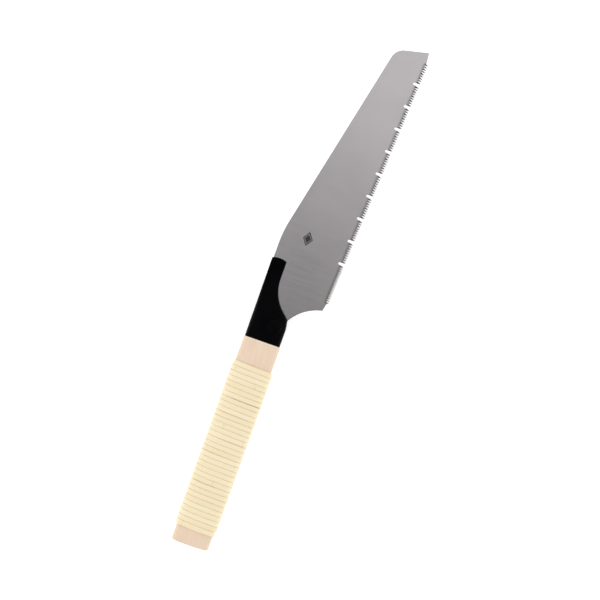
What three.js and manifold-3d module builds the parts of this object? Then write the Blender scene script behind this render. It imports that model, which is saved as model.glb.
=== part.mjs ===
// A Japanese pull saw with a replaceable blade, for rough timber work.
// Units are millimetres. While it is being built, the saw has its own frame:
//   x runs from the butt of the handle (0) to the toe of the blade,
//   y runs across, with the spine on the +y side and the teeth on the -y side,
//   z runs through the thickness, with the blade's middle plane at 0.
// At the end the whole saw is moved so that the centre of its underside is the origin.

import * as THREE from "three";
import { mergeVertices } from "three/addons/utils/BufferGeometryUtils.js";
import Module from "manifold-3d";

const wasm = await Module();
wasm.setup();

// ---------------------------------------------------------------- driving dimensions

// Toothing: groups of teeth, with a deep chip gap between one group and the next
const TOOTH_PITCH = 2.8;
const PITCHES_PER_GROUP = 10;
const CHIP_GAPS = 9;
const HEEL_PITCHES = 17; // the unbroken run of teeth at the heel
const TOOTH_DEPTH = 4.1;
const TOOTH_LEAN = 0.45; // how far a tip stands from the middle of its pitch, towards the handle
const TOOTH_TIP_FLAT = 0.25;
const TOOTH_ROOT_FLAT = 0.5;
const CHIP_GAP_WIDTH = 2.7;
const CHIP_GAP_DEPTH = 8;
const TOOTH_LINE_HEEL = { x: 313.2, y: -57.55 };
const TOOTH_LINE_ANGLE = THREE.MathUtils.degToRad(3.23); // it falls away towards the toe

// Blade
const BLADE_THICKNESS = 0.9;
const SPINE_KINK = { x: 375, radius: 150 };
const TOE_SPINE_CORNER = { x: 616.6, y: -33.3, radius: 16 };
const TOE_CORNER = { x: 625.2, y: -70.7 };
const TOE_EDGE_INSET = 2.4; // the plain edge at the toe lies this far behind the tooth tips
const HEEL_EDGE_INSET = 2.45;
const HEEL_CORNER_Y = -53.3;
const HEEL_ARC = { x: 254, y: -63.6, radius: 51.3 };

// The rivet, and the open hook at the end of the tang that turns on it
const RIVET = { x: 269, y: -6, radius: 3 };
const RIVET_HEAD_RADIUS = 7.4;
const RIVET_RIM = 0.35; // height of the head's upright rim
const RIVET_DOME = 0.75; // height of the dome above the rim
const RIVET_SEAT_RADIUS = 8.4; // a round spot on each cheek, pressed flat under the head
const RIVET_SEAT_HEIGHT = 14.1;
const HOOK_CLEARANCE = 0.1;
const HOOK_LIP = 7.2; // width of the tang behind the rivet
const TANG_END_Y = 1.5;
const TANG_SHOULDER = { x: 293, radius: 12 }; // towards the toe the tang fills the ferrule

// Ferrule: one sheet folded along the spine, pinched flat at the nose, oval at the socket
const SHEET = 1.3;
const BLADE_GAP = 0.05; // between the blade and each cheek, and twice that at the fold
const FERRULE_REAR = 248.6;
const FERRULE_NOSE = 344.2;
const FERRULE_FOLD_Y = 21.7; // outside of the fold
const FERRULE_SEAM_Y = -20.8; // where the sheet's two edges face each other
const SOCKET_HALF_THICKNESS = 14.5;
const OVAL_POWER = 2.4; // squareness of the socket's and the handle's ovals
const NOSE_EDGE_Y = 4.2;
const NOSE_BULGE = 1.2; // the nose ends in a shallow curve
const NOSE_CORNER = 0.9; // taken off its two corners
const MOUTH_BEND = { x: 302.6, radius: 46 };
const MOUTH_CORNER = { x: 280.8, y: -19.1, radius: 3 };
const MOUTH_TAPER = { x: 270.5, radius: 20 }; // from here the seam edge draws in towards the mouth
const FLARE_START = 272;
const FLARE_END = 326;
const PINCH_LAND = 3; // the strip along the mouth where both cheeks touch the blade

// Wooden handle
const SHOULDER_X = 248.3;
const HANDLE_HALF_WIDTH = 22.1;
const HANDLE_HALF_THICKNESS = 15.3;
const HANDLE_MIDDLE_Y = 0.4; // at the shoulder
const HANDLE_CAST = 0.005; // towards the butt its middle drifts to the spine side, so much per mm
const BUTT_CHAMFER = 2;
const SHOULDER_CHAMFER = 0.8;
const TENON_END = 277;
const TENON_GAP = 0.3; // between the tenon and the inside of the ferrule
const KERF_END = 255;
const KERF_HALF_WIDTH = 0.75;
const OVAL_SIDES = 24;

// Rattan winding
const STRAND_PITCH = 6.05;
const STRAND_TURNS = 32.5;
const STRAND_FRONT = 219.5; // front edge of the strand where it starts, at the spine
const STRAND_WIDTH = 5.85;
const STRAND_CROWN_WIDTH = 3.7;
const STRAND_THICKNESS = 2.3;
const STRAND_GAP = 0.15; // between the strand and the wood

// Nails that hold the ferrule to the wood: one in the fold, one on each side of the seam
const NAIL_X = 252.3;
const SEAM_NAIL_Z = 4;
const NAIL_RADIUS = 0.8;
const NAIL_LENGTH = 9;
const NAIL_POINT = 1.6;
const NAIL_HEAD_RADIUS = 1.5;
const NAIL_HEAD_HEIGHT = 0.5;
const NAIL_HEAD_GAP = 0.05;
const NAIL_SINK = NAIL_HEAD_HEIGHT + NAIL_HEAD_GAP; // the heads lie flush, in round recesses
const NAILS = {
  spine_nail: { side: 1, y: FERRULE_FOLD_Y, z: 0 },
  seam_nail_left: { side: -1, y: FERRULE_SEAM_Y, z: SEAM_NAIL_Z },
  seam_nail_right: { side: -1, y: FERRULE_SEAM_Y, z: -SEAM_NAIL_Z },
};

// Holes are this much larger in radius than what goes through them.
const WOOD_HOLE_GAP = 0.05;
const SHEET_HOLE_GAP = 0.1;

// Cutting bodies run this far past what they cut.
const OVERRUN = 5;

// ---------------------------------------------------------------- sizes worked out from them

const BLADE_HALF = BLADE_THICKNESS / 2;
const SLOT_HALF = BLADE_HALF + BLADE_GAP;
const NOSE_HALF_THICKNESS = SLOT_HALF + SHEET;
const FOLD_INSIDE_Y = FERRULE_FOLD_Y - SHEET;
const SPINE_Y = FOLD_INSIDE_Y - 2 * BLADE_GAP;
const HOOK_RADIUS = RIVET.radius + HOOK_CLEARANCE;
const TANG_END_X = RIVET.x - HOOK_RADIUS - HOOK_LIP;
const PITCHES = CHIP_GAPS * PITCHES_PER_GROUP + HEEL_PITCHES;
const TOWARDS_TOE = new THREE.Vector2(Math.cos(TOOTH_LINE_ANGLE), -Math.sin(TOOTH_LINE_ANGLE));
const INTO_PLATE = new THREE.Vector2(-TOWARDS_TOE.y, TOWARDS_TOE.x);

// ---------------------------------------------------------------- shape helpers

const point = (x, y) => new THREE.Vector2(x, y);

// So many values from one number to another, evenly spaced.
function spread(from, to, count) {
  return Array.from({ length: count }, (_, i) => from + ((to - from) * i) / (count - 1));
}

// Points on an arc about a centre, from one angle to another, in radians.
function arc(centre, radius, from, to, steps) {
  return spread(from, to, steps + 1).map((angle) =>
    point(centre.x + radius * Math.cos(angle), centre.y + radius * Math.sin(angle)),
  );
}

// An open line through corners [x, y, radius], rounding each corner that has a radius.
function rounded(corners, steps) {
  return corners.flatMap(([x, y, radius], i) => {
    const corner = point(x, y);
    if (!radius) return [corner];
    const before = point(...corners[i - 1]).sub(corner).normalize();
    const after = point(...corners[i + 1]).sub(corner).normalize();
    const half = Math.acos(before.dot(after)) / 2;
    const bisector = before.clone().add(after).normalize();
    const centre = corner.clone().addScaledVector(bisector, radius / Math.sin(half));
    const reach = radius / Math.tan(half);
    const start = corner.clone().addScaledVector(before, reach).sub(centre);
    const end = corner.clone().addScaledVector(after, reach).sub(centre);
    const turn = Math.atan2(start.cross(end), start.dot(end));
    return arc(centre, radius, start.angle(), start.angle() + turn, steps);
  });
}

// A flat plate with that outline, from z low to z high.
function plate(outline, low, high) {
  const options = { depth: high - low, bevelEnabled: false };
  return new THREE.ExtrudeGeometry(new THREE.Shape(outline), options).translate(0, 0, low);
}

function box(x0, x1, y0, y1, z0, z1) {
  const geometry = new THREE.BoxGeometry(x1 - x0, y1 - y0, z1 - z0);
  return geometry.translate((x0 + x1) / 2, (y0 + y1) / 2, (z0 + z1) / 2);
}

// A cylinder along z at x, y, from z low to z high.
function zRod(x, y, radius, low, high) {
  const geometry = new THREE.CylinderGeometry(radius, radius, high - low, 36);
  return geometry.rotateX(Math.PI / 2).translate(x, y, (low + high) / 2);
}

// A body turned about y, from a profile of [radius, y] that starts and ends on the axis.
function turned(profile, sides) {
  const points = profile.map(([radius, y]) => point(radius, y));
  return new THREE.LatheGeometry(points, sides);
}

// The triangles that close one end of a tube of rings, as a strip across the ring.
function endStrip(count) {
  const strip = [];
  for (let i = 1; i <= count / 2; i++) {
    const across = count - i;
    if (across > i) strip.push([i - 1, i, across]);
    if (i > 1) strip.push([i - 1, across, across + 1]);
  }
  return strip;
}

// A closed skin over rings of points that all have the same number of points.
function loft(rings) {
  const count = rings[0].length;
  const last = (rings.length - 1) * count;
  const indices = [];
  for (let base = 0; base < last; base += count)
    for (let i = 0; i < count; i++) {
      const [a, b] = [base + i, base + ((i + 1) % count)];
      indices.push(a, b, b + count, a, b + count, a + count);
    }
  for (const [a, b, c] of endStrip(count)) {
    indices.push(a, c, b);
    indices.push(last + a, last + b, last + c);
  }
  const geometry = new THREE.BufferGeometry().setFromPoints(rings.flat());
  geometry.setIndex(indices);
  return geometry;
}

// three.js geometry as a manifold-3d solid.
function solid(geometry) {
  const bare = geometry.clone();
  bare.deleteAttribute("normal");
  bare.deleteAttribute("uv");
  const merged = mergeVertices(bare);
  return new wasm.Manifold(
    new wasm.Mesh({
      numProp: 3,
      vertProperties: merged.attributes.position.array,
      triVerts: new Uint32Array(merged.index.array),
    }),
  );
}

// A manifold-3d solid as three.js geometry.
function geometryOf(body) {
  const mesh = body.getMesh();
  const geometry = new THREE.BufferGeometry();
  geometry.setAttribute("position", new THREE.BufferAttribute(mesh.vertProperties, mesh.numProp));
  geometry.setIndex(new THREE.BufferAttribute(mesh.triVerts, 1));
  return geometry;
}

// The solid with every tool cut out of it.
const cut = (body, tools) => tools.reduce((left, tool) => left.subtract(solid(tool)), body);

// ---------------------------------------------------------------- blade

// A point on the toothed edge: so far from its heel end, and so deep into the plate.
function onToothLine(along, depth) {
  return point(TOOTH_LINE_HEEL.x, TOOTH_LINE_HEEL.y)
    .addScaledVector(TOWARDS_TOE, along)
    .addScaledVector(INTO_PLATE, depth);
}

// One tooth, drawn from the toe end of its pitch to the heel end.
function toothPoints(start) {
  const tip = start + TOOTH_PITCH / 2 - TOOTH_LEAN;
  return [
    onToothLine(start + TOOTH_PITCH - TOOTH_ROOT_FLAT / 2, TOOTH_DEPTH),
    onToothLine(tip + TOOTH_TIP_FLAT / 2, 0),
    onToothLine(tip - TOOTH_TIP_FLAT / 2, 0),
    onToothLine(start + TOOTH_ROOT_FLAT / 2, TOOTH_DEPTH),
  ];
}

// One chip gap: a round-bottomed slot in the place of a tooth.
function chipGapPoints(start) {
  const radius = CHIP_GAP_WIDTH / 2;
  const centre = onToothLine(start + TOOTH_PITCH / 2, CHIP_GAP_DEPTH - radius);
  return arc(centre, radius, -TOOTH_LINE_ANGLE, Math.PI - TOOTH_LINE_ANGLE, 8);
}

// The whole toothed edge, from toe to heel.
function toothEdge() {
  return Array.from({ length: PITCHES }, (_, i) => {
    const group = (i + 1) / PITCHES_PER_GROUP;
    const isGap = Number.isInteger(group) && group <= CHIP_GAPS;
    const start = (PITCHES - 1 - i) * TOOTH_PITCH;
    return isGap ? chipGapPoints(start) : toothPoints(start);
  }).flat();
}

// The heel's hollow curve runs on into the ferrule as the tang's lower edge.
const heelAngleAtX = (x) => Math.acos((x - HEEL_ARC.x) / HEEL_ARC.radius);
const heelYAtX = (x) => HEEL_ARC.y + HEEL_ARC.radius * Math.sin(heelAngleAtX(x));

function heelCurve() {
  const from = Math.asin((HEEL_CORNER_Y - HEEL_ARC.y) / HEEL_ARC.radius);
  return arc(HEEL_ARC, HEEL_ARC.radius, from, heelAngleAtX(RIVET.x + HOOK_RADIUS), 20);
}

// The spine from the end of the tang to the toe.
function spineLine() {
  const corners = [
    [TANG_END_X, TANG_END_Y],
    [TANG_SHOULDER.x, SPINE_Y, TANG_SHOULDER.radius],
    [SPINE_KINK.x, SPINE_Y, SPINE_KINK.radius],
    [TOE_SPINE_CORNER.x, TOE_SPINE_CORNER.y, TOE_SPINE_CORNER.radius],
    [TOE_CORNER.x, TOE_CORNER.y],
  ];
  return rounded(corners, 10);
}

function bladeOutline() {
  return [
    ...spineLine(),
    onToothLine(PITCHES * TOOTH_PITCH, TOE_EDGE_INSET),
    ...toothEdge(),
    onToothLine(0, HEEL_EDGE_INSET),
    ...heelCurve(),
    ...arc(RIVET, HOOK_RADIUS, 0, Math.PI, 12),
    point(RIVET.x - HOOK_RADIUS, heelYAtX(RIVET.x - HOOK_RADIUS)),
    point(TANG_END_X, heelYAtX(TANG_END_X)),
  ];
}

const sawBlade = () => plate(bladeOutline(), -BLADE_HALF, BLADE_HALF);

// ---------------------------------------------------------------- ferrule

// The ferrule's edge on the tooth side, from nose to socket.
const MOUTH = rounded(
  [
    [FERRULE_NOSE, NOSE_EDGE_Y],
    [MOUTH_BEND.x, NOSE_EDGE_Y, MOUTH_BEND.radius],
    [MOUTH_CORNER.x, MOUTH_CORNER.y, MOUTH_CORNER.radius],
    [MOUTH_TAPER.x, FERRULE_SEAM_Y, MOUTH_TAPER.radius],
    [FERRULE_REAR - 2 * OVERRUN, FERRULE_SEAM_Y],
  ],
  6,
);

function mouthY(x) {
  const after = Math.max(1, MOUTH.findIndex((p) => p.x <= x));
  const [a, b] = [MOUTH[after - 1], MOUTH[after]];
  return THREE.MathUtils.mapLinear(Math.min(x, a.x), a.x, b.x, a.y, b.y);
}

// How far the section at x has opened from the flat nose (0) to the full socket (1).
const flare = (x) => 1 - THREE.MathUtils.smoothstep(x, FLARE_START, FLARE_END);

// An oval's height at a place across it, from 0 at either edge to 1 in the middle.
const ovalHeight = (across) => (1 - Math.abs(2 * across - 1) ** OVAL_POWER) ** (1 / OVAL_POWER);

// The height of a quarter-round edge, from 0 at the edge to 1 a radius further in.
const edgeHeight = (depth, radius) => Math.sqrt(1 - (1 - Math.min(1, depth / radius)) ** 2);

// The ferrule's section at x, drawn smaller by inset all round except at the mouth, where it
// stops short by land. The sheet, its hollow and the wooden tenon all come from this.
function ferruleRing(x, inset, land) {
  const fold = FERRULE_FOLD_Y - inset;
  const width = fold - mouthY(x) - land;
  const flatHalf = Math.max(BLADE_HALF, NOSE_HALF_THICKNESS - inset);
  const bulge = flare(x) * (SOCKET_HALF_THICKNESS - NOSE_HALF_THICKNESS);
  const upper = spread(0, Math.PI, 13).map((angle) => {
    const across = (1 - Math.cos(angle)) / 2;
    const height = flatHalf * edgeHeight(width * across, flatHalf) + bulge * ovalHeight(across);
    return new THREE.Vector3(x, fold - width * across, height);
  });
  const lower = upper.slice(1).reverse();
  return [...upper, ...lower.map((p) => new THREE.Vector3(p.x, p.y, -p.z))];
}

function ferruleSkin() {
  const xs = [FERRULE_REAR, MOUTH_TAPER.x, ...spread(FLARE_START, FLARE_END, 12), FERRULE_NOSE + OVERRUN];
  return loft(xs.map((x) => ferruleRing(x, 0, 0)));
}

// The hollow ends where the two cheeks come together on the blade.
function ferruleHollow() {
  const closed = FLARE_END - PINCH_LAND;
  const xs = [FERRULE_REAR - OVERRUN, MOUTH_TAPER.x, ...spread(FLARE_START, closed, 12)];
  const land = (x) => THREE.MathUtils.lerp(PINCH_LAND, SHEET, flare(x));
  return loft(xs.map((x) => ferruleRing(x, SHEET, land(x))));
}

// The curved end of the nose, from fold to mouth.
function noseCurve() {
  return spread(-1, 1, 11).map((across) => {
    const x = FERRULE_NOSE + NOSE_BULGE * (1 - across ** 2) - NOSE_CORNER * across ** 8;
    const y = THREE.MathUtils.mapLinear(across, -1, 1, FERRULE_FOLD_Y, NOSE_EDGE_Y);
    return point(x, y);
  });
}

// The ferrule's outline seen from its flat side: it trims the mouth and the nose.
function ferruleOutline() {
  const [corner, ...nose] = noseCurve();
  const past = FERRULE_FOLD_Y + OVERRUN;
  const shortOfTaper = MOUTH.filter((p) => p.x > MOUTH_TAPER.x);
  return [
    point(FERRULE_REAR, past),
    point(corner.x, past),
    corner,
    ...nose,
    ...shortOfTaper.slice(1),
    point(MOUTH_TAPER.x, -past),
    point(FERRULE_REAR, -past),
  ];
}

// The pressed spots under the rivet's heads: raised on one side of the hill and cut into the other.
function rivetSeat() {
  return zRod(RIVET.x, RIVET.y, RIVET_SEAT_RADIUS, -RIVET_SEAT_HEIGHT, RIVET_SEAT_HEIGHT);
}

function aboveRivetSeat(side) {
  const top = RIVET_SEAT_HEIGHT + OVERRUN;
  const [low, high] = side > 0 ? [RIVET_SEAT_HEIGHT, top] : [-top, -RIVET_SEAT_HEIGHT];
  return zRod(RIVET.x, RIVET.y, RIVET_SEAT_RADIUS, low, high);
}

function rivetHole() {
  const radius = RIVET.radius + SHEET_HOLE_GAP;
  return zRod(RIVET.x, RIVET.y, radius, -SOCKET_HALF_THICKNESS - OVERRUN, SOCKET_HALF_THICKNESS + OVERRUN);
}

// A round hole at a nail's place, so deep from the outside of the sheet.
function holeAtNail({ side, y, z }, radius, depth) {
  const geometry = new THREE.CylinderGeometry(radius, radius, OVERRUN + depth, 16);
  return geometry.translate(NAIL_X, y + (side * (OVERRUN - depth)) / 2, z);
}

const shankHole = (place, gap) => holeAtNail(place, NAIL_RADIUS + gap, NAIL_LENGTH + NAIL_SINK);
const headRecess = (place) => holeAtNail(place, NAIL_HEAD_RADIUS + SHEET_HOLE_GAP, NAIL_SINK);

function ferrule() {
  const halfThickness = SOCKET_HALF_THICKNESS + OVERRUN;
  const trim = solid(plate(ferruleOutline(), -halfThickness, halfThickness));
  const outside = solid(ferruleSkin()).add(solid(rivetSeat())).intersect(trim);
  const noseEnd = FERRULE_NOSE + OVERRUN;
  const seam = FERRULE_SEAM_Y - OVERRUN;
  const bladeSlot = box(FERRULE_REAR - OVERRUN, noseEnd, seam, FOLD_INSIDE_Y, -SLOT_HALF, SLOT_HALF);
  const nailHoles = Object.values(NAILS).flatMap((place) => [
    shankHole(place, SHEET_HOLE_GAP),
    headRecess(place),
  ]);
  return cut(outside, [
    aboveRivetSeat(1),
    aboveRivetSeat(-1),
    ferruleHollow(),
    bladeSlot,
    rivetHole(),
    ...nailHoles,
  ]);
}

// ---------------------------------------------------------------- rivet and nails

// The rivet with a low domed head at each end, turned about y and then laid along z.
function hookRivet() {
  const seat = RIVET_SEAT_HEIGHT + BLADE_GAP;
  const dome = spread(0, Math.PI / 2, 4).map((angle) => [
    RIVET_HEAD_RADIUS * Math.sin(angle),
    seat + RIVET_RIM + RIVET_DOME * Math.cos(angle),
  ]);
  const upper = [...dome, [RIVET_HEAD_RADIUS, seat], [RIVET.radius, seat]];
  const lower = upper.map(([radius, y]) => [radius, -y]);
  return turned([...lower, ...upper.reverse()], 28).rotateX(Math.PI / 2);
}

// A flat-headed nail with the underside of its head at 0 and its shank down -y.
function nail() {
  const profile = [
    [0, -NAIL_LENGTH],
    [NAIL_RADIUS, NAIL_POINT - NAIL_LENGTH],
    [NAIL_RADIUS, 0],
    [NAIL_HEAD_RADIUS, 0],
    [NAIL_HEAD_RADIUS, NAIL_HEAD_HEIGHT / 2],
    [NAIL_HEAD_RADIUS / 2, NAIL_HEAD_HEIGHT],
    [0, NAIL_HEAD_HEIGHT],
  ];
  return turned(profile, 14);
}

// ---------------------------------------------------------------- wooden handle

// One point of the handle's oval, that far out from the wood.
function ovalPoint(x, side, out) {
  const angle = (2 * Math.PI * side) / OVAL_SIDES;
  const reach = (value) => Math.sign(value) * Math.abs(value) ** (2 / OVAL_POWER);
  const middle = HANDLE_MIDDLE_Y + HANDLE_CAST * (SHOULDER_X - x);
  const y = middle + reach(Math.cos(angle)) * (HANDLE_HALF_WIDTH + out);
  const z = reach(Math.sin(angle)) * (HANDLE_HALF_THICKNESS + out);
  return new THREE.Vector3(x, y, z);
}

function ovalRing(x, out) {
  return Array.from({ length: OVAL_SIDES }, (_, side) => ovalPoint(x, side, out));
}

function grip() {
  return loft([
    ovalRing(0, -BUTT_CHAMFER),
    ovalRing(BUTT_CHAMFER, 0),
    ovalRing(SHOULDER_X - SHOULDER_CHAMFER, 0),
    ovalRing(SHOULDER_X, -SHOULDER_CHAMFER),
  ]);
}

// The tenon fills the socket of the ferrule.
function tenon() {
  const inset = SHEET + TENON_GAP;
  const xs = [SHOULDER_X - OVERRUN, MOUTH_TAPER.x, FLARE_START, TENON_END];
  return loft(xs.map((x) => ferruleRing(x, inset, inset)));
}

function handleCore() {
  const past = HANDLE_HALF_WIDTH + OVERRUN;
  const kerf = box(KERF_END, TENON_END + OVERRUN, -past, past, -KERF_HALF_WIDTH, KERF_HALF_WIDTH);
  const nailHoles = Object.values(NAILS).map((place) => shankHole(place, WOOD_HOLE_GAP));
  return cut(solid(grip()).add(solid(tenon())), [kerf, rivetHole(), ...nailHoles]);
}

// ---------------------------------------------------------------- rattan winding

// One flat strand wound round the handle from the ferrule end to the butt. Over the upper face
// it goes from spine to teeth.
function rattanWrap() {
  const section = [
    [-STRAND_WIDTH / 2, 0],
    [STRAND_WIDTH / 2, 0],
    [STRAND_CROWN_WIDTH / 2, STRAND_THICKNESS],
    [-STRAND_CROWN_WIDTH / 2, STRAND_THICKNESS],
  ];
  const rings = Array.from({ length: STRAND_TURNS * OVAL_SIDES + 1 }, (_, i) => {
    const middle = STRAND_FRONT - STRAND_WIDTH / 2 - (STRAND_PITCH * i) / OVAL_SIDES;
    return section.map(([along, height]) => ovalPoint(middle + along, i, STRAND_GAP + height));
  });
  return loft(rings);
}

// ---------------------------------------------------------------- materials and assembly

function material(color, roughness, metalness) {
  return new THREE.MeshStandardMaterial({ color, roughness, metalness });
}

const bladeSteel = material(0xa8a2a4, 0.35, 1);
const blackPaint = material(0x0b0b0d, 0.45, 0.2);
const nailSteel = material(0x8c8c8c, 0.4, 1);
const paleWood = material(0xeed6bf, 0.7, 0);
const rattan = material(0xf6e8c4, 0.55, 0);

const saw = new THREE.Group();

function addNode(name, geometry, look) {
  const mesh = new THREE.Mesh(geometry, look);
  mesh.name = name;
  saw.add(mesh);
  return mesh;
}

addNode("saw_blade", sawBlade(), bladeSteel);
addNode("ferrule", geometryOf(ferrule()), blackPaint);
addNode("hook_rivet", hookRivet(), blackPaint).position.set(RIVET.x, RIVET.y, 0);
addNode("handle_core", geometryOf(handleCore()), paleWood);
addNode("rattan_wrap", rattanWrap(), rattan);

for (const [name, { side, y, z }] of Object.entries(NAILS)) {
  const mesh = addNode(name, nail(), nailSteel);
  mesh.position.set(NAIL_X, y - side * NAIL_HEAD_HEIGHT, z);
  if (side < 0) mesh.rotation.z = Math.PI;
}

// The origin is the centre of the saw's underside.
const bounds = new THREE.Box3().setFromObject(saw, true);
const middle = bounds.getCenter(new THREE.Vector3());
saw.position.set(-middle.x, -middle.y, -bounds.min.z);

export default saw;
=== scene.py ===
# The look of the Japanese pull saw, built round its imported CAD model. Lengths in the
# constants are millimetres in the saw's own frame: x from the butt of the handle to the toe of
# the blade, y across with the spine at +y, z through the thickness with the plate's middle at 0.
import math
import bpy
import numpy as np
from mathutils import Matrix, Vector, noise


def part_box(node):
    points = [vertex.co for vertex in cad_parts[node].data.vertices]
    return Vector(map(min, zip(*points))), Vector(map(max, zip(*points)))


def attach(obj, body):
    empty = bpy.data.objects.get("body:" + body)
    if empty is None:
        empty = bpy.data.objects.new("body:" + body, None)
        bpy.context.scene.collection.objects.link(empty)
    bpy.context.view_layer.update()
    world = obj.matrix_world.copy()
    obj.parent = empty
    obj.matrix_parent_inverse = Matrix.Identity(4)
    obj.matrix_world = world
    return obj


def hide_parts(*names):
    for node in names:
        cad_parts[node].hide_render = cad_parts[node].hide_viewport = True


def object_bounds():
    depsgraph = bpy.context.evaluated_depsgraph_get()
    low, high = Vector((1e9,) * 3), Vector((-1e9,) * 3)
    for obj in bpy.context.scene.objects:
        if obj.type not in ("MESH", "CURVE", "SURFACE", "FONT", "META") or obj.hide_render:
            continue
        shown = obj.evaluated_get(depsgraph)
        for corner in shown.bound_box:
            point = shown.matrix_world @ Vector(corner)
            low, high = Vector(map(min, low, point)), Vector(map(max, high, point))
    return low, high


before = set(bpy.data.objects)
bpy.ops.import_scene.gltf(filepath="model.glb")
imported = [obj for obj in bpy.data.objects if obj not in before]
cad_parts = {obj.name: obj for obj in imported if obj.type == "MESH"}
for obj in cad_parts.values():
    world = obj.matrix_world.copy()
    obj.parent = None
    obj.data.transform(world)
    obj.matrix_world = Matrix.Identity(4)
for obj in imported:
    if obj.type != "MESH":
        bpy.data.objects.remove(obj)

cad_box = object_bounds()
scene = bpy.context.scene

MM = 0.001
RIVET_Y = -6

# Where the saw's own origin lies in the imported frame, in metres
HANDLE_LOW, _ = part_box("handle_core")
RIVET_LOW, RIVET_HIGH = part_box("hook_rivet")
PLATE_LOW, PLATE_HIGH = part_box("saw_blade")
ORIGIN = np.array(
    [
        HANDLE_LOW.x,
        RIVET_LOW.y + (RIVET_HIGH.y - RIVET_LOW.y) / 2 - RIVET_Y * MM,
        (PLATE_LOW.z + PLATE_HIGH.z) / 2,
    ]
)

# ------------------------------------------------------------------ dimensions, in mm

# Toothed edge
PITCH = 2.8
GROUP = 10  # pitches from one chip gap to the next
CHIP_GAPS = 9
HEEL_PITCHES = 17  # the unbroken run of teeth at the heel
PITCHES = CHIP_GAPS * GROUP + HEEL_PITCHES
TOOTH_DEPTH = 4.1
TOOTH_LEAN = 0.45  # how far a tip stands from the middle of its pitch, towards the handle
TIP_FLAT = 0.75
ROOT_FLAT = 0.5
TOOTH_SET = 0.2  # how far each tip is bent to its side
TOOTH_BEVEL = 0.5  # how far the ground side of a tooth stops short of its tip
BEVEL_SKEW = {1: -0.3, -1: 0.5}  # and how far it draws in the tip's two ends, as parts of that
CHIP_GAP_WIDTH = 2.7
CHIP_GAP_DEPTH = 8
TOE_EDGE_INSET = 2.4  # the plain lands at the two ends lie this far behind the tips
HEEL_EDGE_INSET = 2.45
EDGE_HEEL = np.array([313.2, -57.55])
EDGE_ANGLE = math.radians(3.23)
TOWARDS_TOE = np.array([math.cos(EDGE_ANGLE), -math.sin(EDGE_ANGLE)])
INTO_PLATE = np.array([math.sin(EDGE_ANGLE), math.cos(EDGE_ANGLE)])

# Blade
PLATE_HALF = 0.45
SPINE_Y = 20.3
SPINE_KINK = (375, SPINE_Y, 150)
TOE_SPINE_CORNER = (616.6, -33.3, 16)
TOE_CORNER = (625.2, -70.7, 0)
HEEL_CORNER_Y = -53.3
HEEL_ARC = (254, -63.6)
HEEL_RADIUS = 51.3
RIVET = (269, RIVET_Y)
RIVET_HEAD_RADIUS = 7.4
HOOK_RADIUS = 3.1
TANG_END = (258.7, 1.5)
TANG_SHOULDER = (293, SPINE_Y, 12)
PLATE_EASE = 0.12

# Ferrule
SHEET = 1.3
SLOT_HALF = 0.5
NOSE_HALF = SLOT_HALF + SHEET
FOLD_Y = 21.7
SEAM_Y = -20.8
FERRULE_REAR = 248.6
FERRULE_NOSE = 344.2
NOSE_EDGE_Y = 4.2
NOSE_BULGE = 1.2
NOSE_CORNER = 0.9
SOCKET_HALF = 14.5
OVAL_POWER = 2.4
MOUTH_BEND = (302.6, NOSE_EDGE_Y, 46)
MOUTH_CORNER = (280.8, -19.1, 3)
MOUTH_TAPER = (270.5, SEAM_Y, 20)
FLARE = (272, 326)
NOSE_START = 330  # from here to its end the nose is drawn out into its shallow curve
PINCH_LAND = 3  # the strip along the mouth where both cheeks touch the blade
SHEET_EASE = 0.16

# The round seats pressed under the rivet's heads, and the rivet
SEAT_HEIGHT = 14.1
SEAT_RADIUS = 8.1
SEAT_BLEND = 2
SEAT_FROM = 5  # only points this far out from the plate's middle are pressed
HEAD_GAP = 0.05
HEAD_EASE = 0.12
HEAD_RIM = 0.3
HEAD_DOME = 0.8
SHANK_RADIUS = 3

# Nails that hold the ferrule: their places on its outside, y and z, and their profile, as
# radius and height above the sheet
NAIL_X = 252.3
NAILS = {"nail_spine": (FOLD_Y, 0), "nail_left": (SEAM_Y, 4), "nail_right": (SEAM_Y, -4)}
NAIL_HEAD = [(0.0, 0), (0.6, -0.01), (1.1, -0.05), (1.38, -0.14), (1.48, -0.28), (1.46, -0.48)]
NAIL_SHANK = [(0.8, -0.5), (0.8, -7.9), (0, -9.5)]
NAIL_RECESS = [(0, 1), (1.58, 1), (1.58, -0.55), (0, -0.55)]

# Handle and winding
SHOULDER_X = 248.3
HANDLE_HALF_WIDTH = 22.1
HANDLE_HALF_THICKNESS = 15.3
HANDLE_MIDDLE_Y = 0.4
HANDLE_CAST = 0.005  # towards the butt its middle drifts to the spine side, so much per mm
BUTT_EASE = [(0, -1.2), (0.12, -0.95), (0.95, -0.12), (1.2, -0.03), (1.6, 0)]  # x, out
SHOULDER_EASE = [(247.2, 0), (247.6, -0.12), (248.1, -0.6), (SHOULDER_X, -0.85)]
TENON_END = 277
TENON_INSET = 1.6
KERF_END = 255
KERF_HALF_WIDTH = 0.75
WOOD_HOLE_RADIUS = 3.1
STRAND_PITCH = 6.05
STRAND_TURNS = 32.5
STRAND_FRONT = 219.5
STRAND_THICKNESS = 2.3
STRAND_SHOULDER = 0.68  # the height of its rounded edges, as a part of its thickness
STRAND_CROWN = 3.5  # how square its rounded top is

# The mark etched on the blade, a lozenge: its middle, and half its length and width
MARK = (377, -10)
MARK_HALF = (8.5, 6)

# ------------------------------------------------------------------ mesh helpers


def smoothstep(value, low, high):
    t = np.clip((np.asarray(value, float) - low) / (high - low), 0, 1)
    return t * t * (3 - 2 * t)


def wander(*at):
    """Smooth noise from about -1 to 1. A second number only picks another stretch of it."""
    return noise.noise(Vector((*at, 0, 0)[:3]))


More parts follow.
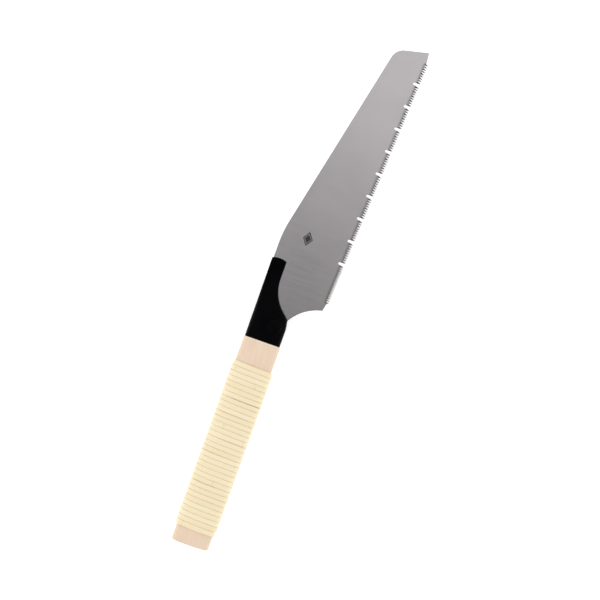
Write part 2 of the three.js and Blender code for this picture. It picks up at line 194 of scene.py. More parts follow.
def new_object(name, points, faces, sharp_angle=35):
    """A mesh object from points in the saw's own frame, smooth apart from its sharp edges."""
    mesh = bpy.data.meshes.new(name)
    mesh.from_pydata((np.asarray(points) * MM + ORIGIN).tolist(), [], faces)
    mesh.shade_smooth()
    mesh.set_sharp_from_angle(angle=math.radians(sharp_angle))
    obj = bpy.data.objects.new(name, mesh)
    scene.collection.objects.link(obj)
    return obj


def tube_faces(rings, count):
    """Quads over rings of count points, each ring joined to the next."""
    faces = []
    for r in range(rings - 1):
        for i in range(count):
            j = (i + 1) % count
            faces.append((r * count + i, r * count + j, (r + 1) * count + j, (r + 1) * count + i))
    return faces


def arc(centre, radius, start, end, steps):
    angles = np.linspace(start, end, steps + 1)
    return np.column_stack(
        [centre[0] + radius * np.cos(angles), centre[1] + radius * np.sin(angles)]
    )


def rounded(corners, steps):
    """Points along a line through corners (x, y, radius), each corner with a radius rounded."""
    points = []
    for i, (x, y, radius) in enumerate(corners):
        corner = np.array([x, y])
        if not radius:
            points.append([corner])
            continue
        before = np.array(corners[i - 1][:2]) - corner
        after = np.array(corners[i + 1][:2]) - corner
        before, after = before / np.hypot(*before), after / np.hypot(*after)
        half = math.acos(before @ after) / 2
        middle = (before + after) / np.hypot(*(before + after))
        centre = corner + middle * radius / math.sin(half)
        start, end = (
            corner + side * radius / math.tan(half) - centre for side in (before, after)
        )
        turn = math.atan2(start[0] * end[1] - start[1] * end[0], start @ end)
        first = math.atan2(start[1], start[0])
        points.append(arc(centre, radius, first, first + turn, steps))
    return np.vstack(points)


def ease_edges(obj, width, angle=None):
    """Round off the edges sharper than an angle, or without one those with a bevel weight."""
    modifier = obj.modifiers.new("edges", "BEVEL")
    modifier.width = width * MM
    modifier.segments = 2
    modifier.limit_method = "ANGLE" if angle else "WEIGHT"
    if angle:
        modifier.angle_limit = math.radians(angle)


def carved(obj, *cutters):
    """The object with the cutters cut out of it for good."""
    for cutter in cutters:
        modifier = obj.modifiers.new("cut", "BOOLEAN")
        modifier.operation = "DIFFERENCE"
        modifier.solver = "EXACT"
        modifier.object = cutter
    graph = bpy.context.evaluated_depsgraph_get()
    mesh = bpy.data.meshes.new_from_object(obj.evaluated_get(graph))
    obj.modifiers.clear()
    obj.data = mesh
    for cutter in cutters:
        bpy.data.objects.remove(cutter)
    return obj


def lathe(name, profile, centre, axis, segments=64):
    """A body turned about z or y through centre, from a profile of (radius, height) that starts
    and ends on the axis."""
    inner = profile[1:-1]
    angles = np.linspace(0, 2 * math.pi, segments, endpoint=False)
    points = []
    for radius, height in inner:
        for angle in angles:
            a, b = radius * math.cos(angle), radius * math.sin(angle)
            points.append((a, b, height) if axis == "z" else (b, height, a))
    faces = tube_faces(len(inner), segments)
    for end, ring in ((profile[0], 0), (profile[-1], len(inner) - 1)):
        tip = len(points)
        points.append((0, 0, end[1]) if axis == "z" else (0, end[1], 0))
        for i in range(segments):
            a, b = ring * segments + i, ring * segments + (i + 1) % segments
            faces.append((tip, b, a) if ring == 0 else (tip, a, b))
    return new_object(name, np.array(points) + centre, faces, 40)


def box_cutter(x0, x1, y0, y1, z0, z1):
    xs, ys, zs = (x0, x1), (y0, y1), (z0, z1)
    points = [(x, y, z) for x in xs for y in ys for z in zs]
    faces = [(0, 1, 3, 2), (4, 6, 7, 5), (0, 4, 5, 1), (2, 3, 7, 6), (0, 2, 6, 4), (1, 5, 7, 3)]
    return new_object("cutter", points, faces)


def rod_cutter(x, y, radius, half_height):
    profile = [(0, -half_height), (radius, -half_height), (radius, half_height), (0, half_height)]
    return lathe("cutter", profile, (x, y, 0), "z", 48)


# ------------------------------------------------------------------ blade


def on_edge(along, depth):
    """A point on the toothed edge: so far from its heel end, and so deep into the plate."""
    return EDGE_HEEL + TOWARDS_TOE * along + INTO_PLATE * depth


def heel_y(x):
    return HEEL_ARC[1] + math.sqrt(HEEL_RADIUS**2 - (x - HEEL_ARC[0]) ** 2)


def is_chip_gap(i):
    """Counted from the toe, whether a chip gap stands in the place of tooth i."""
    group = (i + 1) / GROUP
    return group.is_integer() and group <= CHIP_GAPS


def plate_outline():
    """The plate's outline without its teeth; for each tooth the index of its first root point,
    its start along the edge and the side it is bent to; and the points of the plain edges."""
    spine = rounded(
        [(*TANG_END, 0), TANG_SHOULDER, SPINE_KINK, TOE_SPINE_CORNER, TOE_CORNER], 24
    )
    outline = list(spine)
    outline.append(on_edge(PITCHES * PITCH, TOE_EDGE_INSET))
    teeth = []
    for i in range(PITCHES):
        start = (PITCHES - 1 - i) * PITCH
        if is_chip_gap(i):
            radius = CHIP_GAP_WIDTH / 2
            centre = on_edge(start + PITCH / 2, CHIP_GAP_DEPTH - radius)
            outline += list(arc(centre, radius, -EDGE_ANGLE, math.pi - EDGE_ANGLE, 12))
            continue
        teeth.append((len(outline), start, 1 if i % 2 else -1))
        outline.append(on_edge(start + PITCH - ROOT_FLAT / 2, TOOTH_DEPTH))
        outline.append(on_edge(start + ROOT_FLAT / 2, TOOTH_DEPTH))
    outline.append(on_edge(0, HEEL_EDGE_INSET))
    plain_from = len(outline)
    low = math.asin((HEEL_CORNER_Y - HEEL_ARC[1]) / HEEL_RADIUS)
    high = math.acos((RIVET[0] + HOOK_RADIUS - HEEL_ARC[0]) / HEEL_RADIUS)
    outline += list(arc(HEEL_ARC, HEEL_RADIUS, low, high, 40))
    outline += list(arc(RIVET, HOOK_RADIUS, 0, math.pi, 24))
    for x in (RIVET[0] - HOOK_RADIUS, TANG_END[0]):
        outline.append((x, heel_y(x)))
    plain = set(range(len(spine))) | set(range(plain_from, len(outline)))
    return outline, teeth, plain


def tooth_tip(start, side):
    """The four corners of a tooth's tip, two on each face of the plate. The face that looks
    away from the side it is bent to is ground."""
    tip = start + PITCH / 2 - TOOTH_LEAN
    corners = []
    for z in (PLATE_HALF, -PLATE_HALF):
        ground = TOOTH_BEVEL if z * side < 0 else 0
        for end in (1, -1):
            along = tip + end * TIP_FLAT / 2 + ground * BEVEL_SKEW[end]
            x, y = on_edge(along, ground)
            corners.append((x, y, z + side * TOOTH_SET))
    return corners


def blade_plate():
    """The plate with its flat sides, and on it each tooth, bent to one side and bevelled."""
    outline, teeth, plain = plate_outline()
    count = len(outline)
    points = [(x, y, PLATE_HALF) for x, y in outline]
    points += [(x, y, -PLATE_HALF) for x, y in outline]
    plain |= {i + count for i in plain}
    rooted = {index for index, _, _ in teeth}
    faces = [tuple(range(count))[::-1], tuple(range(count, 2 * count))]
    for i in range(count):
        j = (i + 1) % count
        if i not in rooted:
            faces.append((i, j, count + j, count + i))
    for index, start, side in teeth:
        first = len(points)
        points += tooth_tip(start, side)
        a, b, c, d = index, index + 1, count + index + 1, count + index
        e, f, g, h = first, first + 1, first + 3, first + 2
        faces += [(b, a, e, f), (d, c, g, h), (a, d, h, e), (c, b, f, g), (f, e, h, g)]
    obj = new_object("blade_plate", points, faces, 5)
    weights = obj.data.attributes.new("bevel_weight_edge", "FLOAT", "EDGE")
    for edge in obj.data.edges:
        a, b = edge.vertices
        flat = abs(obj.data.vertices[a].co.z - obj.data.vertices[b].co.z) < 1e-6
        if a in plain and b in plain and flat:
            weights.data[edge.index].value = 1
    ease_edges(obj, PLATE_EASE)
    return obj


# ------------------------------------------------------------------ ferrule

# The edge of the sheet along its mouth, run on past both ends of the ferrule
MOUTH = rounded(
    [
        (FERRULE_NOSE + 20, NOSE_EDGE_Y, 0),
        MOUTH_BEND,
        MOUTH_CORNER,
        MOUTH_TAPER,
        (200, SEAM_Y, 0),
    ],
    16,
)[::-1]


def mouth_y(x):
    return float(np.interp(x, MOUTH[:, 0], MOUTH[:, 1]))


def oval_height(across):
    return (1 - np.abs(2 * across - 1) ** OVAL_POWER) ** (1 / OVAL_POWER)


def edge_height(depth, radius):
    return np.sqrt(1 - (1 - np.minimum(1, depth / radius)) ** 2)


def half_section(x, inset, land, steps):
    """(y, z) of the ferrule's upper half at x, from the fold to the mouth: so far inside its
    outer face, and stopping a land short of the mouth."""
    fold = FOLD_Y - inset
    width = fold - mouth_y(x) - land
    across = (1 - np.cos(np.linspace(0, math.pi, steps + 1))) / 2
    flat = max(PLATE_HALF, NOSE_HALF - inset)
    bulge = (1 - smoothstep(x, *FLARE)) * (SOCKET_HALF - NOSE_HALF)
    height = flat * edge_height(width * across, flat) + bulge * oval_height(across)
    return np.column_stack([fold - width * across, height])


def ferrule_sheet():
    """One folded sheet: at each place along it, the outside from one edge round the fold to the
    other, then the inside back again."""
    steps = 44
    # Places along it, closest together where its shape changes most
    xs = np.concatenate(
        [
            [FERRULE_REAR, FERRULE_REAR + 0.8],
            np.linspace(252, 266, 15),
            np.linspace(267, 330, 84),
            np.linspace(331, FERRULE_NOSE - 0.6, 15),
            [FERRULE_NOSE],
        ]
    )
    points = []
    for x in xs:
        flare = float(1 - smoothstep(x, *FLARE))
        land = PINCH_LAND + (SHEET - PINCH_LAND) * flare
        outer = half_section(x, 0, 0, steps)
        inner = half_section(x, SHEET, land, steps)
        inner[:, 1] = np.maximum(inner[:, 1], SLOT_HALF * (np.arange(steps + 1) > 0))
        edge = mouth_y(x)
        outside = np.vstack([[edge, SLOT_HALF], outer[::-1]])
        inside = np.vstack([[edge, SLOT_HALF], inner[::-1]])
        inside[0, 0] = edge + 0.05
        ring = [(y, z) for y, z in outside] + [(y, -z) for y, z in outside[::-1][1:]]
        ring += [(y, -z) for y, z in inside] + [(y, z) for y, z in inside[::-1][1:]]
        across = [(FOLD_Y - y) / (FOLD_Y - NOSE_EDGE_Y) * 2 - 1 for y, _ in ring]
        nose = float(smoothstep(x, NOSE_START, FERRULE_NOSE))
        for (y, z), a in zip(ring, across):
            a = min(1, max(-1, a))
            end = NOSE_BULGE * (1 - a * a) - NOSE_CORNER * a**8
            points.append((x + nose * end, y, z))
    points = np.array(points)
    count = len(points) // len(xs)
    sheet_half = 2 * (steps + 2) - 1
    outside = (np.arange(len(points)) % count) < sheet_half
    away = np.hypot(points[:, 0] - RIVET[0], points[:, 1] - RIVET[1])
    pressed = (1 - smoothstep(away, SEAT_RADIUS, SEAT_RADIUS + SEAT_BLEND)) * outside
    pressed *= np.abs(points[:, 2]) > SEAT_FROM
    seat = np.sign(points[:, 2]) * SEAT_HEIGHT
    points[:, 2] += (seat - points[:, 2]) * pressed
    faces = tube_faces(len(xs), count)
    last = (len(xs) - 1) * count
    for j in range(sheet_half - 1):
        k = count - 1 - j
        faces.append((j + 1, j, k, k - 1))
        faces.append((last + j, last + j + 1, last + k - 1, last + k))
    obj = new_object("ferrule_sheet", points, faces, 40)
    obj = carved(obj, *[nail_body("cutter", place, NAIL_RECESS) for place in NAILS.values()])
    ease_edges(obj, SHEET_EASE, 60)
    return obj


# ------------------------------------------------------------------ rivet and nails


def rivet_piece():
    seat = SEAT_HEIGHT + HEAD_GAP
    dome = [
        (RIVET_HEAD_RADIUS * math.sin(t), seat + HEAD_RIM + HEAD_DOME * math.cos(t))
        for t in np.linspace(0, math.pi / 2, 14)
    ]
    rim = [(RIVET_HEAD_RADIUS, seat + HEAD_EASE), (RIVET_HEAD_RADIUS - HEAD_EASE, seat)]
    upper = dome + rim + [(SHANK_RADIUS, seat)]
    lower = [(radius, -height) for radius, height in upper]
    return lathe("rivet_body", lower + upper[::-1], (*RIVET, 0), "z", 96)


def nail_body(name, place, profile):
    """A body turned about the line that a nail is driven in along."""
    y, z = place
    side = 1 if y > 0 else -1
    turned = [(radius, side * height) for radius, height in profile]
    return lathe(name, turned, (NAIL_X, y, z), "y", 40)


def nail_piece(name):
    """A nail driven home, with its flat head just below the outside of the sheet."""
    return nail_body(name, NAILS[name], NAIL_HEAD + NAIL_SHANK)


# ------------------------------------------------------------------ handle


def handle_middle(x):
    """The handle's middle drifts a little to the spine side towards the butt."""
    return HANDLE_MIDDLE_Y + HANDLE_CAST * (SHOULDER_X - x)


def oval(x, out, count):
    angles = 2 * math.pi * np.arange(count) / count
    reach = [np.sign(f) * np.abs(f) ** (2 / OVAL_POWER) for f in (np.cos(angles), np.sin(angles))]
    y = handle_middle(x) + reach[0] * (HANDLE_HALF_WIDTH + out)
    z = reach[1] * (HANDLE_HALF_THICKNESS + out)
    return np.column_stack([np.full(count, float(x)), y, z])


def handle_piece():
    """The grip with its eased ends, and the tenon with its kerf and rivet hole."""
    steps = 72
    count = 2 * steps + 1
    profile = BUTT_EASE + [(x, 0) for x in np.linspace(6, 244, 60)] + SHOULDER_EASE
    rings = [oval(x, out, count) for x, out in profile]
    for x in np.linspace(SHOULDER_X, TENON_END, 12):
        upper = half_section(x, TENON_INSET, TENON_INSET, steps)
        section = np.vstack([upper, upper[:0:-1] * (1, -1)])
        rings.append(np.column_stack([np.full(count, x), section]))
    faces = tube_faces(len(rings), count)
    last = (len(rings) - 1) * count
    faces.append(tuple(range(count))[::-1])
    faces.append(tuple(range(last, last + count)))
    obj = new_object("handle_wood", np.vstack(rings), faces, 30)
    kerf = box_cutter(KERF_END, TENON_END + 5, -30, 30, -KERF_HALF_WIDTH, KERF_HALF_WIDTH)
    return carved(obj, kerf, rod_cutter(*RIVET, WOOD_HOLE_RADIUS, 25))


# ------------------------------------------------------------------ rattan winding

TURN_STEPS = 96
STRAND_SHAPE = np.concatenate([-np.linspace(1, 0, 8), np.linspace(0, 1, 8)[1:]])
STRAND_SHAPE = np.sign(STRAND_SHAPE) * np.abs(STRAND_SHAPE) ** 0.7

# Places where two turns have drawn apart: middle in turns, half length in turns, extra gap in mm
SLACK = [
    (6.35, 0.19, 0.42),
    (9.22, 0.12, 0.16),
    (14.3, 0.1, 0.2),
    (17.15, 0.13, 0.15),
    (23.2, 0.1, 0.2),
]


def boundary(turns):
    """Where the edge between one turn and the next lies along the handle."""
    drift = 0.3 * wander(turns * 2.1, 3.7) + 0.22 * wander(turns * 0.77, 9.1)
    return STRAND_FRONT - STRAND_PITCH * (turns + 1) + drift


def gap_after(turns):
    slack = sum(
        extra * math.exp(-(((turns - at) / length) ** 4)) for at, length, extra in SLACK
    )
    return 0.02 + 0.04 * abs(wander(turns * 3.3, 21.0)) + slack


def strand_piece():
    """The strand as one long solid, with its width, height and tightness varying along it."""
    steps = int(STRAND_TURNS * TURN_STEPS)
    points, strand = [], []
    length = 0
    before = None
    for i in range(steps + 1):
        turns = i / TURN_STEPS
        low = boundary(turns) + gap_after(turns) / 2
        high = boundary(turns - 1) - gap_after(turns - 1) / 2
        to_end = min(i, steps - i) / TURN_STEPS
        end = float(smoothstep(to_end, -0.01, 0.07))
        middle, half = (low + high) / 2, (high - low) / 2 * (0.8 + 0.2 * end)
        angle = 2 * math.pi * turns
        y, z = (
            math.copysign(abs(f) ** (2 / OVAL_POWER), f) for f in (math.cos(angle), math.sin(angle))
        )
        place = np.array([y * HANDLE_HALF_WIDTH, z * HANDLE_HALF_THICKNESS])
        if before is not None:
            length += float(np.hypot(*(place - before)))
        before = place
        tall = STRAND_THICKNESS * (1 + 0.05 * wander(turns * 1.3, 40.0)) * (0.25 + 0.75 * end)
        proud = 0.06 + 0.06 * abs(wander(turns * 0.9, 55.0))
        lean = 0.08 * wander(turns * 0.6, 70.0)
        crown = (1 - np.abs(STRAND_SHAPE) ** STRAND_CROWN) ** 0.5
        heights = STRAND_SHOULDER + (1 - STRAND_SHOULDER) * crown
        heights = heights * (1 + lean * STRAND_SHAPE) * tall
        outs = np.concatenate([heights + proud, [0.04, 0.04]])
        sides = np.concatenate([STRAND_SHAPE, [0.9, -0.9]])
        for side, out in zip(sides, outs):
            x = middle + side * half
            reach = handle_middle(x) + y * (HANDLE_HALF_WIDTH + out)
            points.append((x, reach, z * (HANDLE_HALF_THICKNESS + out)))
            strand.append((length * MM, side, turns))
    count = len(STRAND_SHAPE) + 2
    faces = [face[::-1] for face in tube_faces(steps + 1, count)]
    last = steps * count
    faces.append(tuple(range(count)))
    faces.append(tuple(range(last, last + count))[::-1])
    obj = new_object("rattan_strand", points, faces, 60)
    layer = obj.data.attributes.new("strand", "FLOAT_VECTOR", "POINT")
    layer.data.foreach_set("vector", np.array(strand, np.float32).ravel())
    return obj


# ------------------------------------------------------------------ materials


class Look:
    """A node material. Values given to a node are numbers, colours or other nodes' sockets."""

    def __init__(self, name):
        self.material = bpy.data.materials.new(name)
        self.material.use_nodes = True
        self.tree = self.material.node_tree
        self.shader = self.tree.nodes["Principled BSDF"]

    def set(self, node, values):
        for key, value in values.items():
            socket = node.inputs[key]
            if isinstance(value, bpy.types.NodeSocket):
                self.tree.links.new(value, socket)
            else:
                socket.default_value = value

    def node(self, kind, values=None, **settings):
        node = self.tree.nodes.new("ShaderNode" + kind)
        for key, value in settings.items():
            setattr(node, key, value)
        self.set(node, values or {})
        return node

    def math(self, operation, *values):
        return self.node("Math", dict(enumerate(values)), operation=operation).outputs[0]

    def vector(self, operation, *values):
        node = self.node("VectorMath", dict(enumerate(values)), operation=operation)
        return node.outputs["Value" if operation in ("LENGTH", "DOT_PRODUCT") else "Vector"]

    def noise(self, at, scale, detail=2.0, rough=0.5):
        values = {"Vector": at, "Scale": scale, "Detail": detail, "Roughness": rough}
        return self.node("TexNoise", values).outputs["Fac"]

    def height_of(self, at):
        return self.node("SeparateXYZ", {"Vector": at}).outputs["Z"]

    def stretch(self, at, x, y, z):
        return self.vector("MULTIPLY", at, (x, y, z))

    def range(self, value, low, high, to_low=0.0, to_high=1.0):
        """A smooth step of value from low to high, as a number from to_low to to_high."""
        values = {"Value": value, "From Min": low, "From Max": high}
        values |= {"To Min": to_low, "To Max": to_high}
        node = self.node("MapRange", values, interpolation_type="SMOOTHSTEP")
        return node.outputs["Result"]

    def mix(self, factor, a, b):
        node = self.node("Mix", data_type="RGBA")
        for index, value in ((0, factor), (6, a), (7, b)):
            if isinstance(value, bpy.types.NodeSocket):
                self.tree.links.new(value, node.inputs[index])
            elif index:
                node.inputs[index].default_value = (*value, 1)
            else:
                node.inputs[index].default_value = value
        return node.outputs[2]

    def bump(self, height, distance, strength, over=None):
        values = {"Height": height, "Distance": distance, "Strength": strength}
        if over is not None:
            values["Normal"] = over
        return self.node("Bump", values).outputs["Normal"]

    def object_coordinates(self):
        return self.node("TexCoord").outputs["Object"]

    def finish(self, **values):
        self.set(self.shader, {key.replace("_", " "): value for key, value in values.items()})
        return self.material


def in_row_frame(x, y, z=0.0):
    """A point of the saw's own frame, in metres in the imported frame."""
    return tuple(float(v) for v in np.array([x, y, z]) * MM + ORIGIN)


def blade_steel():
    """Ground and plated steel: a fine grain across the blade, teeth hardened blue-black."""
    look = Look("blade_steel")
    at = look.object_coordinates()
    fine = look.noise(look.stretch(at, 5200, 70, 70), 1.0, 3.0)
    broad = look.noise(look.stretch(at, 700, 22, 22), 1.0, 2.0)
    cloud = look.noise(at, 16.0, 3.0)
    speck = look.noise(at, 900.0, 2.0)
    grain = look.math("ADD", look.math("MULTIPLY", fine, 0.6), look.math("MULTIPLY", broad, 0.4))
    steel = look.mix(look.range(cloud, 0.3, 0.7), (0.55, 0.53, 0.54), (0.595, 0.57, 0.58))
    streaks = look.math("MULTIPLY", look.range(grain, 0.35, 0.65), 0.15)
    steel = look.mix(streaks, steel, (0.63, 0.61, 0.615))
    heel = look.vector("SUBTRACT", at, in_row_frame(*EDGE_HEEL))
    depth = look.vector("DOT_PRODUCT", heel, (*INTO_PLATE, 0.0))
    wobble = look.math("MULTIPLY", look.math("SUBTRACT", look.noise(at, 420.0), 0.5), 0.0016)
    depth = look.math("ADD", depth, wobble)
    along = look.vector("DOT_PRODUCT", heel, (*TOWARDS_TOE, 0.0))
    toe, blur = PITCHES * PITCH * MM, 0.0004
    toothed = look.math(
        "MULTIPLY",
        look.range(along, -blur, blur),
        look.range(along, toe - blur, toe + blur, 1.0, 0.0),
    )
    turn = look.math("MULTIPLY", along, math.pi / (PITCH * MM))
    face = look.range(look.height_of(at), ORIGIN[2] - 0.0001, ORIGIN[2] + 0.0001, -1.0, 1.0)
    every_other = look.math("MULTIPLY", look.math("SINE", turn), face)
    spots = look.range(every_other, -0.35, 0.35, 0.6, 1.0)
    hardened = look.math("MULTIPLY", look.range(depth, 0.0034, 0.0056, 1.0, 0.0), spots)
    hardened = look.math("MULTIPLY", hardened, toothed)
    straw = look.math("MULTIPLY", look.range(depth, 0.0056, 0.0074, 0.3, 0.0), toothed)
    steel = look.mix(straw, steel, (0.33, 0.3, 0.27))
    steel = look.mix(hardened, steel, (0.012, 0.012, 0.015))
    mark = look.vector("ABSOLUTE", look.vector("SUBTRACT", at, in_row_frame(*MARK)))
    mark = look.vector("DOT_PRODUCT", mark, (*(1 / (half * MM) for half in MARK_HALF), 0.0))
    ragged = look.math("MULTIPLY", look.math("SUBTRACT", look.noise(at, 900.0), 0.5), 0.1)
    mark = look.math("ADD", mark, ragged)
    etched = look.range(mark, 0.95, 1.03, 0.96, 0.0)
    inlay = look.math(
        "MULTIPLY", look.range(mark, 0.6, 0.64), look.range(mark, 0.72, 0.76, 1.0, 0.0)
    )
    etched = look.math("MULTIPLY", etched, look.math("SUBTRACT", 1.0, inlay))
    colour = look.mix(etched, steel, (0.045, 0.047, 0.055))
    rough = look.range(grain, 0.3, 0.7, 0.16, 0.2)
    rough = look.math("ADD", rough, look.range(speck, 0.5, 0.8, 0.0, 0.03))
    rough = look.math("ADD", rough, look.math("MULTIPLY", etched, 0.15))
    height = look.bump(grain, 0.000003, 0.5)
    height = look.bump(cloud, 0.00025, 0.25, height)
    return look.finish(Base_Color=colour, Metallic=1.0, Roughness=rough, Normal=height)


def black_paint(name, tint=(0.0008, 0.0008, 0.0011), gloss=0.4):
    """Satin black paint with a slight orange peel and fine dust."""
    look = Look(name)
    at = look.object_coordinates()
    peel = look.noise(at, 1100.0, 2.0)
    dust = look.noise(at, 3200.0, 1.0)
    cloud = look.noise(at, 60.0, 3.0)
    colour = look.mix(look.range(cloud, 0.3, 0.7), tint, tuple(1.7 * c for c in tint))
    colour = look.mix(look.range(dust, 0.72, 0.8, 0.0, 0.1), colour, (0.05, 0.05, 0.05))
    rough = look.range(cloud, 0.25, 0.75, gloss - 0.04, gloss + 0.08)
    height = look.bump(peel, 0.00005, 0.35)
    return look.finish(
        Base_Color=colour,
        Metallic=0.0,
        Roughness=rough,
        Normal=height,
        Specular_IOR_Level=0.02,
    )


# Where the middle of the tree lay from the handle, y and z, and the width of a growth ring
TREE_MIDDLE = (62, -74)
RING_WIDTH = 3.1


def handle_wood():
    """Pale pinkish wood: growth rings cut along their length, fine pores and rays."""
    look = Look("handle_wood")
    at = look.object_coordinates()
    centred = look.vector("SUBTRACT", at, in_row_frame(0, *TREE_MIDDLE))
    bend = look.noise(look.stretch(at, 9, 30, 30), 1.0, 2.0)
    tilt = look.vector("DOT_PRODUCT", centred, (0.045, 0.0, 0.0))
    radius = look.vector("LENGTH", look.stretch(centred, 0, 1, 1))
    rings = look.math("ADD", look.math("ADD", radius, tilt), look.math("MULTIPLY", bend, 0.006))
    phase = look.math("FRACT", look.math("MULTIPLY", rings, 1 / (RING_WIDTH * MM)))
    late = look.math("POWER", phase, 3.0)
    fibre = look.noise(look.stretch(at, 60, 2600, 2600), 1.0, 3.0)
    pores = look.noise(look.stretch(at, 240, 5200, 5200), 1.0, 1.0)
    cloud = look.noise(look.stretch(at, 14, 55, 55), 1.0, 2.0)
    colour = look.mix(look.range(cloud, 0.3, 0.7), (0.69, 0.535, 0.405), (0.735, 0.6, 0.475))
    colour = look.mix(look.math("MULTIPLY", late, 0.22), colour, (0.62, 0.44, 0.31))
    colour = look.mix(look.range(fibre, 0.35, 0.75, 0.0, 0.25), colour, (0.66, 0.49, 0.37))
    colour = look.mix(look.range(pores, 0.68, 0.78, 0.0, 0.25), colour, (0.52, 0.36, 0.26))
    # A lighter band on the shoulder's chamfer next to the ferrule: a painted highlight where the
    # chamfer catches the light, and partly the paler cut wood.
    shoulder = look.vector("SUBTRACT", at, in_row_frame(SHOULDER_X, 0))
    shoulder = look.vector("DOT_PRODUCT", shoulder, (1.0, 0.0, 0.0))
    eased = look.range(shoulder, -0.0016, -0.001, 0.0, 0.7)
    colour = look.mix(eased, colour, (0.79, 0.7, 0.6))
    rough = look.range(fibre, 0.3, 0.7, 0.58, 0.7)
    height = look.bump(fibre, 0.00006, 0.5)
    height = look.bump(pores, 0.00008, 0.3, height)
    return look.finish(
        Base_Color=colour, Roughness=rough, Normal=height, Specular_IOR_Level=0.3
    )


CANE_NODES = 271  # how far apart the cane's nodes are along it


def rattan_cane():
    """Split cane: glossy skin, fibres along the strand, blotches, and a scar at each node."""
    look = Look("rattan_cane")
    strand = look.node("Attribute", attribute_name="strand").outputs["Vector"]
    parts = look.node("SeparateXYZ", {"Vector": strand})
    along, across, turn = (parts.outputs[axis] for axis in "XYZ")
    at = look.node("CombineXYZ", {"X": along, "Y": across, "Z": 0.0}).outputs["Vector"]
    fibre = look.noise(look.stretch(at, 35, 16, 1), 1.0, 3.0, 0.6)
    streak = look.noise(look.stretch(at, 9, 5, 1), 1.0, 2.0)
    blotch = look.noise(look.stretch(at, 24, 1.6, 1), 1.0, 3.0)
    tone = look.noise(look.stretch(at, 5, 0, 0), 1.0, 1.0)
    colour = look.mix(look.range(tone, 0.3, 0.7), (0.755, 0.645, 0.425), (0.785, 0.69, 0.485))
    colour = look.mix(look.range(streak, 0.4, 0.75, 0.0, 0.4), colour, (0.82, 0.74, 0.57))
    colour = look.mix(look.range(fibre, 0.45, 0.8, 0.0, 0.35), colour, (0.68, 0.54, 0.33))
    colour = look.mix(look.range(blotch, 0.55, 0.8, 0.0, 0.28), colour, (0.76, 0.58, 0.4))
    # Darker along both edges of the strand, in the grooves between turns: painted shade there, and
    # partly the cane's browning at its edges.
    edge = look.range(look.math("ABSOLUTE", across), 0.85, 1.0, 0.0, 0.15)
    colour = look.mix(edge, colour, (0.62, 0.53, 0.36))
    cell = look.math("FRACT", look.math("MULTIPLY", along, 1 / (CANE_NODES * MM)))
    from_node = look.math("ABSOLUTE", look.math("SUBTRACT", cell, 0.5))
    scar = look.range(from_node, 0.0016, 0.006, 1.0, 0.0)
    colour = look.mix(look.math("MULTIPLY", scar, 0.2), colour, (0.58, 0.43, 0.26))
    rough = look.range(fibre, 0.3, 0.7, 0.36, 0.5)
    height = look.bump(fibre, 0.00009, 0.5)
    height = look.bump(scar, 0.0001, 0.4, height)
    return look.finish(
        Base_Color=colour,
        Roughness=rough,
        Normal=height,
        Specular_IOR_Level=0.35,
        Subsurface_Weight=0.04,
        Subsurface_Radius=(0.002, 0.0012, 0.0006),
    )


def nail_steel():
    """Dull wire-nail steel with a struck, slightly stained face."""
    look = Look("nail_steel")
    at = look.object_coordinates()
    stain = look.noise(at, 900.0, 4.0)
    dents = look.noise(at, 2400.0, 2.0)
    colour = look.mix(look.range(stain, 0.4, 0.7), (0.2, 0.2, 0.21), (0.1, 0.085, 0.075))
    rough = look.range(stain, 0.3, 0.7, 0.35, 0.6)
    return look.finish(
        Base_Color=colour, Metallic=1.0, Roughness=rough, Normal=look.bump(dents, 0.0001, 0.4)
    )


def studio_floor():
    """White paper, lit a little from below so that shadows on it stay faint."""
    look = Look("studio_floor")
    at = look.object_coordinates()
    paper = look.noise(at, 90.0, 3.0)
    colour = look.mix(look.range(paper, 0.3, 0.7), (0.89, 0.89, 0.89), (0.9, 0.9, 0.9))
    return look.finish(
        Base_Color=colour,
        Roughness=0.9,
        Specular_IOR_Level=0.1,
        Emission_Color=(1, 1, 1, 1),
        Emission_Strength=FLOOR_GLOW,
    )


# ------------------------------------------------------------------ camera, light and floor

# The camera's turn about the vertical, the width it sees, the middle of that, and its height
VIEW_TURN = math.radians(19.4)
VIEW_SPAN = 691
VIEW_CENTRE = (307.65, -24.77)
CAMERA_HEIGHT = 2500
SENSOR_WIDTH = 36

# A white tent with a darker opening at the top, which leans towards the handle's end
TENT_BRIGHTNESS = 1.0
OPENING_BRIGHTNESS = 0.26
OPENING_TILT = math.radians(14)
OPENING_INNER = math.radians(14)
OPENING_OUTER = math.radians(21)
FLOOR_GLOW = 0.42
FLOOR_X = (-3000, 3600)
FLOOR_Y = (-3000, 3000)

# The soft boxes on the two sides of the saw: watts, and the place in metres
SOFT_BOX_SIZE = 1.6
SOFT_BOXES = {"left": (13.0, (-0.5, 1.7, 1.5)), "right": (11.0, (0.1, -1.8, 1.5))}


def camera():
    """Straight above the saw, which points up and a little to the right."""
    data = bpy.data.cameras.new("camera")
    data.sensor_width = SENSOR_WIDTH
    data.lens = SENSOR_WIDTH * CAMERA_HEIGHT / VIEW_SPAN
    data.clip_end = 50
    obj = bpy.data.objects.new("camera", data)
    scene.collection.objects.link(obj)
    obj.location = in_row_frame(*VIEW_CENTRE, CAMERA_HEIGHT)
    obj.rotation_euler = (0, 0, VIEW_TURN - math.pi / 2)
    scene.camera = obj


def soft_box(name, energy, centre):
    """A square light, aimed at the middle of the saw, that doesn't show in its bright steel."""
    data = bpy.data.lights.new(name, "AREA")
    data.energy = energy
    data.shape = "SQUARE"
    data.size = SOFT_BOX_SIZE
    obj = bpy.data.objects.new(name, data)
    scene.collection.objects.link(obj)
    obj.location = centre
    obj.rotation_euler = (-Vector(centre)).to_track_quat("-Z", "Y").to_euler()
    obj.visible_glossy = False


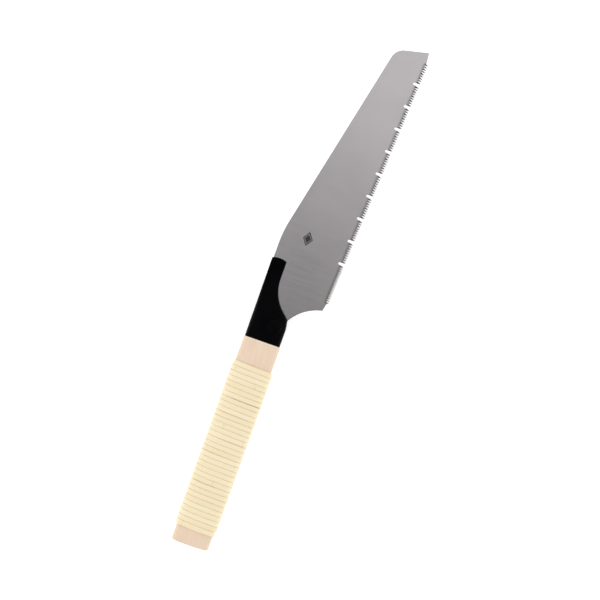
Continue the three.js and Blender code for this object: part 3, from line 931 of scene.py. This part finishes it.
def tent():
    """The world: white all round, with a soft-edged darker opening above."""
    world = bpy.data.worlds.new("studio")
    world.use_nodes = True
    tree = world.node_tree
    sky = tree.nodes["Background"]
    sky.inputs["Color"].default_value = (1.0, 0.995, 0.99, 1)
    away = tree.nodes.new("ShaderNodeVectorMath")
    away.operation = "DOT_PRODUCT"
    away.inputs[1].default_value = (-math.sin(OPENING_TILT), 0, math.cos(OPENING_TILT))
    tree.links.new(tree.nodes.new("ShaderNodeTexCoord").outputs["Generated"], away.inputs[0])
    fade = tree.nodes.new("ShaderNodeMapRange")
    fade.interpolation_type = "SMOOTHSTEP"
    values = (math.cos(OPENING_OUTER), math.cos(OPENING_INNER), TENT_BRIGHTNESS, OPENING_BRIGHTNESS)
    for key, value in zip(("From Min", "From Max", "To Min", "To Max"), values):
        fade.inputs[key].default_value = value
    tree.links.new(away.outputs["Value"], fade.inputs["Value"])
    tree.links.new(fade.outputs["Result"], sky.inputs["Strength"])
    scene.world = world


def studio():
    tent()
    scene.view_settings.view_transform = "Standard"
    for name, (energy, centre) in SOFT_BOXES.items():
        soft_box(name, energy, centre)
    (x0, x1), (y0, y1) = FLOOR_X, FLOOR_Y
    points = [(x0, y0), (x1, y0), (x1, y1), (x0, y1)]
    depth = (cad_box[0].z - ORIGIN[2]) / MM
    floor = new_object("floor", [(x, y, depth) for x, y in points], [(0, 1, 2, 3)])
    floor.data.materials.append(studio_floor())


# ------------------------------------------------------------------ the saw


def dress(obj, material, body, slot, *nodes):
    """Give a piece its material and the body it rides on, and hide the nodes it stands for. The
    slot is not used.
    """
    obj.data.materials.clear()
    obj.data.materials.append(material)
    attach(obj, body)
    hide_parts(*nodes)


camera()
studio()
dress(blade_plate(), blade_steel(), "blade", "blade_steel", "saw_blade")
dress(ferrule_sheet(), black_paint("ferrule_paint"), "handle", "black_paint", "ferrule")
rivet_paint = black_paint("rivet_paint", (0.0012, 0.0012, 0.0015), 0.3)
dress(rivet_piece(), rivet_paint, "handle", "rivet_paint", "hook_rivet")
dress(handle_piece(), handle_wood(), "handle", "handle_wood", "handle_core")
dress(strand_piece(), rattan_cane(), "handle", "rattan", "rattan_wrap")
steel = nail_steel()
dress(nail_piece("nail_spine"), steel, "handle", "nail_steel", "spine_nail")
dress(nail_piece("nail_left"), steel, "handle", "nail_steel", "seam_nail_left")
dress(nail_piece("nail_right"), steel, "handle", "nail_steel", "seam_nail_right")
